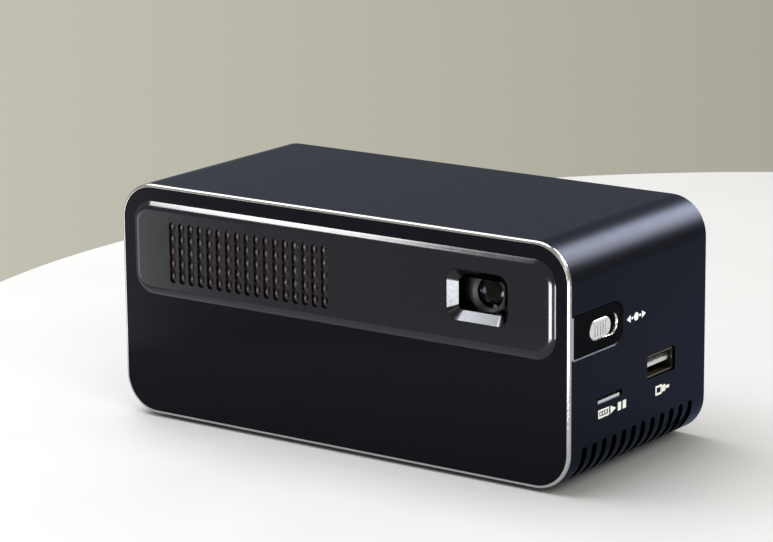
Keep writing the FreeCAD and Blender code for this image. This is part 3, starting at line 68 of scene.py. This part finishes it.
class Surface:
    """A Principled material. Its varying inputs come from noise laid out in the model's own metres."""

    def __init__(self, name, color, rough, metal=0.0):
        self.mat = bpy.data.materials.new(name)
        self.mat.use_nodes = True
        self.tree = self.mat.node_tree
        self.shader = self.tree.nodes["Principled BSDF"]
        self.color = color
        self.rough = rough
        self.set("Base Color", (*color, 1.0))
        self.set("Roughness", rough)
        self.set("Metallic", metal)
        self.place = self.node("ShaderNodeTexCoord").outputs["Object"]
        self.relief = None

    def node(self, kind, **settings):
        made = self.tree.nodes.new(kind)
        for key, value in settings.items():
            setattr(made, key, value)
        return made

    def link(self, output, target):
        self.tree.links.new(output, target)

    def set(self, name, value):
        self.shader.inputs[name].default_value = value

    def stretched(self, sizes):
        """Object coordinates divided by a feature size in metres along each axis."""
        mapping = self.node("ShaderNodeMapping")
        mapping.inputs["Scale"].default_value = [1.0 / s for s in sizes]
        self.link(self.place, mapping.inputs["Vector"])
        return mapping.outputs["Vector"]

    def noise(self, size, detail=2.0, roughness=0.5):
        """Noise from 0 to 1 whose blobs are about `size` metres, or a size along each axis."""
        sizes = size if isinstance(size, tuple) else (size, size, size)
        texture = self.node("ShaderNodeTexNoise")
        texture.inputs["Scale"].default_value = 1.0
        texture.inputs["Detail"].default_value = detail
        texture.inputs["Roughness"].default_value = roughness
        self.link(self.stretched(sizes), texture.inputs["Vector"])
        return texture.outputs["Fac"]

    def grains(self, size):
        """Round cells about `size` metres across; 0 in the middle of each."""
        texture = self.node("ShaderNodeTexVoronoi", feature="F1")
        texture.inputs["Scale"].default_value = 1.0
        self.link(self.stretched((size, size, size)), texture.inputs["Vector"])
        return texture.outputs["Distance"]

    def spread(self, value, source, target):
        """Maps the range source to the range target, clamped."""
        ranger = self.node("ShaderNodeMapRange")
        self.link(value, ranger.inputs["Value"])
        for key, number in zip(("From Min", "From Max", "To Min", "To Max"), (*source, *target)):
            ranger.inputs[key].default_value = number
        return ranger.outputs["Result"]

    def tint(self, mask, low, high):
        """Colours the surface from low to high along a mask."""
        ramp = self.node("ShaderNodeValToRGB")
        ramp.color_ramp.elements[0].color = (*low, 1.0)
        ramp.color_ramp.elements[1].color = (*high, 1.0)
        self.link(mask, ramp.inputs["Fac"])
        self.link(ramp.outputs["Color"], self.shader.inputs["Base Color"])

    def shift(self, mask, amount):
        """Varies the base colour by a share of itself."""
        dark = [c * (1 - amount) for c in self.color]
        light = [c * (1 + amount) for c in self.color]
        self.tint(mask, dark, light)

    def polish(self, mask, low, high):
        """Runs the roughness from low to high over the middle of a mask."""
        self.link(self.spread(mask, MASK_MIDDLE, (low, high)), self.shader.inputs["Roughness"])

    def bump(self, height, depth, strength):
        """Adds relief `depth` metres high on top of any relief already there."""
        node = self.node("ShaderNodeBump")
        node.inputs["Strength"].default_value = strength
        node.inputs["Distance"].default_value = depth
        self.link(height, node.inputs["Height"])
        if self.relief:
            self.link(self.relief, node.inputs["Normal"])
        self.relief = node.outputs["Normal"]
        self.link(self.relief, self.shader.inputs["Normal"])


def blasted_metal(name, color, rough, metal, tint=(1.0, 1.0, 1.0)):
    """Bead-blasted and anodised aluminium: a fine even grain under a thin even colour."""
    s = Surface(name, color, rough, metal)
    s.set("Specular Tint", (*tint, 1.0))
    s.shift(s.noise(0.6 * MM, 3.0, 0.6), 0.18)
    s.polish(s.noise(0.9 * MM, 3.0), rough - 0.03, rough + 0.03)
    s.bump(s.grains(BLAST_GRAIN), 0.006 * MM, 0.5)
    return s.mat


def polished_metal(name, color, rough, run):
    """Bright metal with fine polishing lines along the axes where `run` is long."""
    s = Surface(name, color, rough, 1.0)
    s.shift(s.noise(3 * MM, 2.0), 0.05)
    s.polish(s.noise(run, 3.0, 0.7), rough - 0.05, rough + 0.08)
    s.bump(s.noise(run, 2.0), 0.004 * MM, 0.4)
    return s.mat


def gloss_moulding(name, color, rough, level):
    """Moulded gloss plastic: slow flow waves, and the slightly uneven roughness of handled plastic."""
    s = Surface(name, color, rough)
    s.set("Specular IOR Level", level)
    s.shift(s.noise(9 * MM, 3.0), 0.12)
    s.polish(s.noise(2.5 * MM, 3.0, 0.6), rough - 0.012, rough + 0.02)
    s.bump(s.noise(7 * MM, 1.5), 0.006 * MM, 0.5)
    return s.mat


def textured_moulding(name, color, rough, grain=0.35 * MM, depth=0.02 * MM):
    """Moulded plastic with a fine spark-eroded texture."""
    s = Surface(name, color, rough)
    s.set("Specular IOR Level", 0.3)
    s.shift(s.noise(2.5 * MM, 3.0), 0.2)
    s.polish(s.noise(1.2 * MM, 3.0), rough - 0.06, rough + 0.08)
    s.bump(s.noise(grain, 4.0, 0.65), depth, 0.7)
    return s.mat


def cast_metal(name, color, rough):
    s = Surface(name, color, rough, 1.0)
    s.shift(s.noise(1.5 * MM, 4.0), 0.16)
    s.polish(s.noise(0.8 * MM, 3.0), rough - 0.08, rough + 0.12)
    s.bump(s.noise(0.5 * MM, 4.0, 0.6), 0.03 * MM, 0.7)
    return s.mat


def solder_mask(name, color):
    """Circuit board: lacquer over copper tracks that run in straight lanes."""
    s = Surface(name, color, 0.32)
    lanes = s.node("ShaderNodeTexBrick")
    lanes.inputs["Scale"].default_value = 1.0
    lanes.inputs["Mortar Size"].default_value = 0.08
    for socket, share in (("Color1", 0.8), ("Color2", 1.3), ("Mortar", 1.9)):
        lanes.inputs[socket].default_value = (*[c * share for c in color], 1)
    s.link(s.stretched((2.4 * MM, 1.6 * MM, 1.6 * MM)), lanes.inputs["Vector"])
    s.link(lanes.outputs["Color"], s.shader.inputs["Base Color"])
    s.bump(lanes.outputs["Fac"], 0.03 * MM, 0.4)
    return s.mat


def rubber(name, color):
    s = Surface(name, color, 0.78)
    s.set("Specular IOR Level", 0.3)
    s.shift(s.noise(1.0 * MM, 4.0), 0.3)
    s.polish(s.noise(0.6 * MM, 3.0), 0.7, 0.88)
    s.bump(s.noise(0.3 * MM, 3.0), 0.02 * MM, 0.8)
    return s.mat


def lens_glass(name):
    """Clear coated glass; the coating shifts from violet to green across the element."""
    s = Surface(name, (0.20, 0.21, 0.25), 0.02)
    s.set("Transmission Weight", 1.0)
    s.set("IOR", LENS_IOR)
    s.tint(s.noise(8 * MM, 1.0), (0.17, 0.18, 0.25), (0.19, 0.23, 0.22))
    s.polish(s.noise(2 * MM, 2.0), 0.012, 0.03)
    return s.mat


def frosted(name, color, rough):
    s = Surface(name, color, rough)
    s.set("Subsurface Weight", 0.2)
    s.shift(s.noise(0.8 * MM, 2.0), 0.06)
    s.polish(s.noise(0.5 * MM, 2.0), rough - 0.05, rough + 0.08)
    s.bump(s.noise(0.2 * MM, 2.0), 0.01 * MM, 0.5)
    return s.mat


def foil(name, color):
    """Laminated foil that has crinkled a little."""
    s = Surface(name, color, 0.3, 1.0)
    s.shift(s.noise(4 * MM, 3.0), 0.12)
    s.polish(s.noise(2 * MM, 3.0), 0.22, 0.42)
    s.bump(s.noise(5 * MM, 4.0, 0.6), 0.25 * MM, 0.5)
    return s.mat


def make_materials():
    along_y = (0.25 * MM, 6 * MM, 0.25 * MM)
    across = (5 * MM, 5 * MM, 0.15 * MM)
    even = (0.3 * MM, 0.3 * MM, 0.3 * MM)
    sleeve_tint = (0.68, 0.74, 0.94)
    return {
        "sleeve_black": blasted_metal("sleeve_black", (0.0062, 0.0052, 0.0044), 0.38, 1.0, sleeve_tint),
        "trim_silver": polished_metal("trim_silver", (0.42, 0.425, 0.44), 0.2, along_y),
        "panel_gloss": gloss_moulding("panel_gloss", (0.0028, 0.0031, 0.0048), 0.13, 0.055),
        "fascia_gloss": gloss_moulding("fascia_gloss", (0.0018, 0.0024, 0.0052), 0.14, 0.38),
        "mesh_metal": polished_metal("mesh_metal", (0.078, 0.062, 0.060), 0.38, even),
        "bezel_silver": polished_metal("bezel_silver", (0.032, 0.033, 0.036), 0.14, along_y),
        "back_black": textured_moulding("back_black", (0.008, 0.0085, 0.010), 0.5),
        "tab_black": gloss_moulding("tab_black", (0.0035, 0.0038, 0.005), 0.4, 0.0),
        "knob_silver": polished_metal("knob_silver", (0.74, 0.75, 0.77), 0.25, (0.2 * MM, 0.2 * MM, 4 * MM)),
        "rubber_black": rubber("rubber_black", (0.02, 0.02, 0.02)),
        "inner_plastic": textured_moulding("inner_plastic", (0.035, 0.035, 0.038), 0.6),
        "lens_black": blasted_metal("lens_black", (0.012, 0.012, 0.013), 0.42, 0.3),
        "lens_glass": lens_glass("lens_glass"),
        "cast_metal": cast_metal("cast_metal", (0.50, 0.51, 0.53), 0.45),
        "copper": cast_metal("copper", (0.75, 0.40, 0.26), 0.3),
        "led_board": textured_moulding("led_board", (0.80, 0.80, 0.76), 0.5),
        "chip_package": textured_moulding("chip_package", (0.03, 0.03, 0.033), 0.55, 0.2 * MM),
        "circuit_board": solder_mask("circuit_board", (0.012, 0.11, 0.05)),
        "steel": polished_metal("steel", (0.62, 0.63, 0.65), 0.24, across),
        "brass": polished_metal("brass", (0.78, 0.58, 0.28), 0.25, (4 * MM, 4 * MM, 0.2 * MM)),
        "cone_paper": textured_moulding("cone_paper", (0.05, 0.047, 0.043), 0.85, 0.8 * MM, 0.06 * MM),
        "cell_foil": foil("cell_foil", (0.70, 0.71, 0.74)),
        "cable_sheath": rubber("cable_sheath", (0.03, 0.03, 0.03)),
        # The socket shell is darkened far below plated steel, and the socket plastic is near black: painted
        # shade for the inside of the USB socket.
        "port_shell": polished_metal("port_shell", (0.12, 0.107, 0.09), 0.35, across),
        "port_plastic": textured_moulding("port_plastic", (0.02, 0.02, 0.021), 0.4, 0.25 * MM, 0.008 * MM),
        "socket_black": textured_moulding("socket_black", (0.02, 0.02, 0.02), 0.42, 0.25 * MM, 0.01 * MM),
        "button_black": gloss_moulding("button_black", (0.02, 0.021, 0.026), 0.3, 0.5),
        "ir_lens": gloss_moulding("ir_lens", (0.022, 0.003, 0.008), 0.06, 0.5),
        "light_pipe": frosted("light_pipe", (0.80, 0.83, 0.86), 0.35),
    }


def dress_nodes(materials):
    """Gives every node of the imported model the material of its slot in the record."""
    for subpart in frame["record"]["subparts"]:
        node = NODES[subpart["node"]]
        for slot in node.material_slots:
            slot.material = materials[subpart["material_slot"]]


# ---------------------------------------------------------------- building pieces
class Build:
    """Collects closed solids and makes one piece of them."""

    def __init__(self):
        self.points = []
        self.faces = []

    def skin(self, loops, closed=False):
        """Joins loops of points into a solid: closed on itself, or with its two ends capped."""
        first = len(self.points)
        count = len(loops[0])
        for loop in loops:
            self.points.extend(loop)
        joined = len(loops) if closed else len(loops) - 1
        for i in range(joined):
            here = first + i * count
            there = first + (i + 1) % len(loops) * count
            for j in range(count):
                k = (j + 1) % count
                self.faces.append((here + j, here + k, there + k, there + j))
        if not closed:
            self.faces.append(tuple(range(first + count - 1, first - 1, -1)))
            last = first + (len(loops) - 1) * count
            self.faces.append(tuple(range(last, last + count)))

    def lathe(self, profile, centre, steps=96):
        """Turns a closed outline of (radius, y) about the line through centre along Y."""
        loops = []
        for i in range(steps):
            turn = 2 * math.pi * i / steps
            across = Vector((math.cos(turn), 0.0, math.sin(turn)))
            loops.append([Vector((centre.x, y, centre.z)) + r * across for r, y in profile])
        self.skin(loops, closed=True)

    def piece(self, name, material, slot, body):
        mesh = bpy.data.meshes.new(name)
        mesh.from_pydata(self.points, [], self.faces)
        mesh.materials.append(material)
        made = bpy.data.objects.new(name, mesh)
        bpy.context.scene.collection.objects.link(made)
        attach(made, body)
        return made


def lens_baffle(materials):
    """Stepped black funnel that holds the front lens, with a ridged flange over the barrel's nose."""
    gap = 0.02 * MM
    funnel_wide = 0.85 * MM
    steps = 4
    tread = 0.8
    ridges = 3
    pitch = 0.22 * MM
    ridge_height = 0.22 * MM
    groove_height = 0.05 * MM
    ridge_share = 0.6
    groove_share = 0.7
    low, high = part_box("lens_retainer")
    centre = (low + high) / 2
    nose_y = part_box("lens_barrel")[0].y - gap
    outer_r = (high.x - low.x) / 2 - gap
    inner_r = outer_r - funnel_wide
    rise = (high.y - nose_y) / steps
    run = (outer_r - inner_r) / steps
    profile = [(outer_r, high.y), (inner_r, high.y)]
    for i in range(steps):
        y = high.y - i * rise
        r = inner_r + i * run
        profile.append((r, y - tread * rise))
        profile.append((r + tread * run, y - rise))
    for i in range(ridges):
        r = outer_r + i * pitch
        profile.append((r, nose_y - ridge_height))
        profile.append((r + ridge_share * pitch, nose_y - ridge_height))
        profile.append((r + groove_share * pitch, nose_y - groove_height))
    profile.append((outer_r + ridges * pitch, nose_y))
    profile.append((outer_r, nose_y))
    build = Build()
    build.lathe(profile, centre)
    made = build.piece("lens_baffle", materials["lens_black"], "lens_black", "lens_group")
    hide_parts("lens_retainer")


# ---------------------------------------------------------------- printed marks
INK_T = 0.03 * MM


class Print:
    """Thin white print on the right side of the sleeve, laid out as metres back from the trim ring and up."""

    def __init__(self):
        self.build = Build()
        self.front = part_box("front_trim_ring")[0].y
        self.xs = (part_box("body_sleeve")[1].x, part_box("body_sleeve")[1].x + INK_T)

    def shape(self, outline):
        self.build.skin([[Vector((x, self.front + y, z)) for y, z in outline] for x in self.xs])

    def bar(self, y, z, size):
        """Solid bar with its lowest near corner at y, z."""
        wide, tall = size
        self.shape([(y, z), (y + wide, z), (y + wide, z + tall), (y, z + tall)])

    def frame(self, y, z, size, line):
        """Outline of a rectangle."""
        wide, tall = size
        self.bar(y, z, (wide, line))
        self.bar(y, z + tall - line, (wide, line))
        self.bar(y, z + line, (line, tall - 2 * line))
        self.bar(y + wide - line, z + line, (line, tall - 2 * line))

    def arrow(self, tip, back, z, half):
        self.shape([(tip, z), (back, z - half), (back, z + half)])

    def disc(self, y, z, r, steps=28):
        turns = [2 * math.pi * i / steps for i in range(steps)]
        self.shape([(y + r * math.cos(a), z + r * math.sin(a)) for a in turns])


def printed_marks(materials):
    """Generic pictures beside the slider and the sockets: near and far, a card, and a plug."""
    ink = Print()
    focus_z = 41.1 * MM
    ink.arrow(27.3 * MM, 29.2 * MM, focus_z, 1.0 * MM)
    ink.disc(32.0 * MM, focus_z, 1.1 * MM)
    ink.bar(29.6 * MM, focus_z - 0.3 * MM, (0.9 * MM, 0.6 * MM))
    ink.bar(33.5 * MM, focus_z - 0.3 * MM, (0.9 * MM, 0.6 * MM))
    ink.arrow(36.7 * MM, 34.8 * MM, focus_z, 1.0 * MM)
    card_z = 17.8 * MM
    ink.frame(13.7 * MM, card_z, (5.2 * MM, 2.25 * MM), 0.5 * MM)
    for i in range(3):
        ink.bar((14.6 + 1.25 * i) * MM, card_z + 0.8 * MM, (0.7 * MM, 0.7 * MM))
    ink.arrow(22.25 * MM, 19.6 * MM, card_z + 1.1 * MM, 1.1 * MM)
    for i in range(2):
        ink.bar((23.2 + 2.4 * i) * MM, card_z, (1.6 * MM, 2.2 * MM))
    plug_z = 17.3 * MM
    ink.frame(42.0 * MM, plug_z, (3.2 * MM, 2.6 * MM), 0.6 * MM)
    ink.bar(45.4 * MM, plug_z + 0.4 * MM, (1.6 * MM, 1.8 * MM))
    ink.bar(47.2 * MM, plug_z + 0.9 * MM, (1.8 * MM, 0.8 * MM))
    ink.build.piece("side_marks", materials["light_pipe"], "light_pipe", "casing")


# ---------------------------------------------------------------- focus slot and sockets
def slot_outline(x, inset, low, high, bend=24):
    """The focus slot's long rounded outline at height x, drawn in by an inset."""
    r = (high.z - low.z) / 2
    z = (low.z + high.z) / 2
    points = []
    for y, start in ((high.y - r, -math.pi / 2), (low.y + r, math.pi / 2)):
        for i in range(bend + 1):
            turn = start + math.pi * i / bend
            points.append(Vector((x, y + (r - inset) * math.cos(turn), z + (r - inset) * math.sin(turn))))
    return points


def slot_liner(materials):
    """Bright liner of the focus slot, with a rounded lip inside its mouth."""
    low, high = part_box("focus_slot_tray")
    lip = 0.62 * MM
    crown = 0.8 * (high.x - low.x)
    bend = 10
    loops = [slot_outline(low.x, 0.0, low, high), slot_outline(high.x, 0.0, low, high)]
    for i in range(1, bend + 1):
        turn = math.pi / 2 * i / bend
        x = high.x - crown * (1 - math.cos(turn))
        loops.append(slot_outline(x, lip * math.sin(turn), low, high))
    loops.append(slot_outline(low.x, lip, low, high))
    build = Build()
    build.skin(loops, closed=True)
    made = build.piece("slot_liner", materials["steel"], "bezel_silver", "casing")
    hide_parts("focus_slot_tray")


def bar_across(build, xs, y_range, z_range):
    """Solid bar with its length along X."""
    corners = [(y_range[0], z_range[0]), (y_range[1], z_range[0]),
               (y_range[1], z_range[1]), (y_range[0], z_range[1])]
    build.skin([[Vector((x, y, z)) for y, z in corners] for x in xs])


def socket_contacts(materials):
    """Sprung contacts under the USB tongue, and a bright steel strip along its nose: a painted highlight
    standing in for light caught on the tongue's edge.
    """
    low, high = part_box("usb_shell")
    middle = (low + high) / 2
    nose_x = high.x - 1.0 * MM
    contact_xs = (nose_x - 7 * MM, nose_x - 1.2 * MM)
    contact_zs = (middle.z - 0.12 * MM, middle.z + 0.08 * MM)
    contact_w = 1.0 * MM
    contacts = Build()
    for y in (-3.5, -1.0, 1.0, 3.5):
        y_low = middle.y + (y - 0.5) * MM
        bar_across(contacts, contact_xs, (y_low, y_low + contact_w), contact_zs)
    contacts.piece("usb_contacts", materials["brass"], "brass", "casing")
    # Bright steel strip on the tongue's nose: painted highlight where the tongue's edge catches the light.
    strip_xs = (nose_x, nose_x + 0.2 * MM)
    strip_zs = (middle.z + 0.3 * MM, middle.z + 1.35 * MM)
    strip_half = 5.6 * MM
    strip = Build()
    bar_across(strip, strip_xs, (middle.y - strip_half, middle.y + strip_half), strip_zs)
    strip.piece("usb_nose_highlight_strip", materials["steel"], "steel", "casing")


# ---------------------------------------------------------------- stage, light and camera
TABLE_CENTRE = Vector((0.062, 0.117))
TABLE_R = 0.283
TABLE_T = 0.030
TABLE_ROUND = 0.012
WALL_LEFT = (0.540, 0.525, 0.450)
WALL_RIGHT = (0.405, 0.385, 0.330)
WALL_FADE = 0.118
SENSOR_MM = 36.0


def table_top():
    """Round pale table top with a rounded edge."""
    profile = [(0.0, 0.0)]
    bend = 8
    for side in (1, -1):
        for i in range(bend + 1):
            turn = math.pi / 2 * (i / bend if side == 1 else 1 - i / bend)
            z = -TABLE_T / 2 + side * (TABLE_T / 2 - TABLE_ROUND + TABLE_ROUND * math.cos(turn))
            profile.append((TABLE_R - TABLE_ROUND + TABLE_ROUND * math.sin(turn), z))
    profile.append((0.0, -TABLE_T))
    steps = 180
    points = []
    for i in range(steps):
        turn = 2 * math.pi * i / steps
        points.append([Vector((TABLE_CENTRE.x + r * math.cos(turn), TABLE_CENTRE.y + r * math.sin(turn), z))
                       for r, z in profile])
    build = Build()
    build.skin(points, closed=True)
    mesh = bpy.data.meshes.new("table_top")
    mesh.from_pydata(build.points, [], build.faces)
    top = bpy.data.objects.new("table_top", mesh)
    bpy.context.scene.collection.objects.link(top)
    s = Surface("table_white", (0.72, 0.725, 0.745), 0.5)
    s.shift(s.noise(0.3, 3.0), 0.012)
    s.polish(s.noise(0.05, 3.0), 0.44, 0.56)
    top.data.materials.append(s.mat)
    return top


def softbox(name, place, aim, along, size, watts, color=(1.0, 1.0, 1.0)):
    """Soft rectangular light, size[0] long in the direction `along`. The camera doesn't see it."""
    light = bpy.data.lights.new(name, "AREA")
    light.shape = "RECTANGLE"
    light.size, light.size_y = size
    light.energy = watts
    light.color = color
    back = (Vector(place) - Vector(aim)).normalized()
    right = (Vector(along) - Vector(along).dot(back) * back).normalized()
    lamp = bpy.data.objects.new(name, light)
    turn = Matrix((right, back.cross(right), back)).transposed().to_4x4()
    lamp.matrix_world = Matrix.Translation(Vector(place)) @ turn
    lamp.visible_camera = False
    bpy.context.scene.collection.objects.link(lamp)
    return lamp


def spare(lamp, *objects):
    """Keeps a lamp's light off some objects."""
    kept_off = bpy.data.collections.new(lamp.name + "_spares")
    for one in objects:
        kept_off.objects.link(one)
    lamp.light_linking.receiver_collection = kept_off
    for member in kept_off.collection_objects:
        member.light_linking.link_state = "EXCLUDE"


def studio_wall():
    """Even wall all round, a little paler to the left of the view than to its right."""
    world = bpy.data.worlds.new("studio")
    world.use_nodes = True
    tree = world.node_tree
    toward = tree.nodes.new("ShaderNodeTexCoord").outputs["Generated"]
    across = tree.nodes.new("ShaderNodeVectorMath")
    across.operation = "DOT_PRODUCT"
    across.inputs[1].default_value = (math.cos(AZIMUTH), math.sin(AZIMUTH), 0.0)
    ranger = tree.nodes.new("ShaderNodeMapRange")
    ranger.inputs["From Min"].default_value = -WALL_FADE
    ranger.inputs["From Max"].default_value = WALL_FADE
    ramp = tree.nodes.new("ShaderNodeValToRGB")
    ramp.color_ramp.elements[0].color = (*WALL_LEFT, 1.0)
    ramp.color_ramp.elements[1].color = (*WALL_RIGHT, 1.0)
    tree.links.new(toward, across.inputs[0])
    tree.links.new(across.outputs["Value"], ranger.inputs["Value"])
    tree.links.new(ranger.outputs["Result"], ramp.inputs["Fac"])
    tree.links.new(ramp.outputs["Color"], tree.nodes["Background"].inputs["Color"])
    bpy.context.scene.world = world


def light_studio(table):
    """Lights the body from above, with strips in front for the rims and a window behind for the top edge."""
    body = (0.0, 0.0, 0.04)
    softbox("overhead", (-0.34, -0.06, 0.85), body, (1, 0, 0), (0.9, 0.9), 9.9, (0.97, 0.985, 1.0))
    softbox("right_fill", (0.62, -0.42, 0.55), body, (1, 1, 0), (0.5, 0.5), 2.2)
    upper = softbox("upper_strip", (-0.51, -0.47, 0.55), body, (0, 0.7, 0.72), (0.56, 0.14), 7.5)
    lower = softbox("lower_strip", (0.13, -0.86, -0.15), body, (1, 0, 0), (0.36, 0.16), 6.5)
    side = softbox("side_strip", (0.64, -0.59, -0.15), body, (1, 1, 0), (0.20, 0.18), 3.4)
    card = softbox("left_card", (-0.82, -0.62, -0.16), body, (0.5, -0.8, 0), (0.4, 0.25), 0.9)
    warm = (1.0, 0.95, 0.78)
    window = softbox("rear_window", (0.30, 0.71, 0.52), body, (1, 0, 0), (0.46, 0.46), 22.0, warm)
    spare(upper, table, NODES["front_trim_ring"])
    for lamp in (lower, side, card, window):
        spare(lamp, table)


def place_camera():
    right = Vector((math.cos(AZIMUTH), math.sin(AZIMUTH), 0.0))
    back = Vector((math.sin(AZIMUTH) * math.cos(ELEVATION), -math.cos(AZIMUTH) * math.cos(ELEVATION),
                   math.sin(ELEVATION)))
    up = back.cross(right)
    rolled_right = math.cos(ROLL) * right + math.sin(ROLL) * up
    rolled_up = math.cos(ROLL) * up - math.sin(ROLL) * right
    camera = bpy.data.cameras.new("camera")
    camera.lens = FOCAL_MM
    camera.sensor_width = SENSOR_MM
    holder = bpy.data.objects.new("camera", camera)
    turn = Matrix((rolled_right, rolled_up, back)).transposed().to_4x4()
    holder.matrix_world = Matrix.Translation(AIM + DISTANCE * back) @ turn
    bpy.context.scene.collection.objects.link(holder)
    bpy.context.scene.camera = holder


MATERIALS = make_materials()
dress_nodes(MATERIALS)
lens_baffle(MATERIALS)
slot_liner(MATERIALS)
socket_contacts(MATERIALS)
printed_marks(MATERIALS)
studio_wall()
light_studio(table_top())
place_camera()
bpy.context.scene.view_settings.view_transform = "Standard"
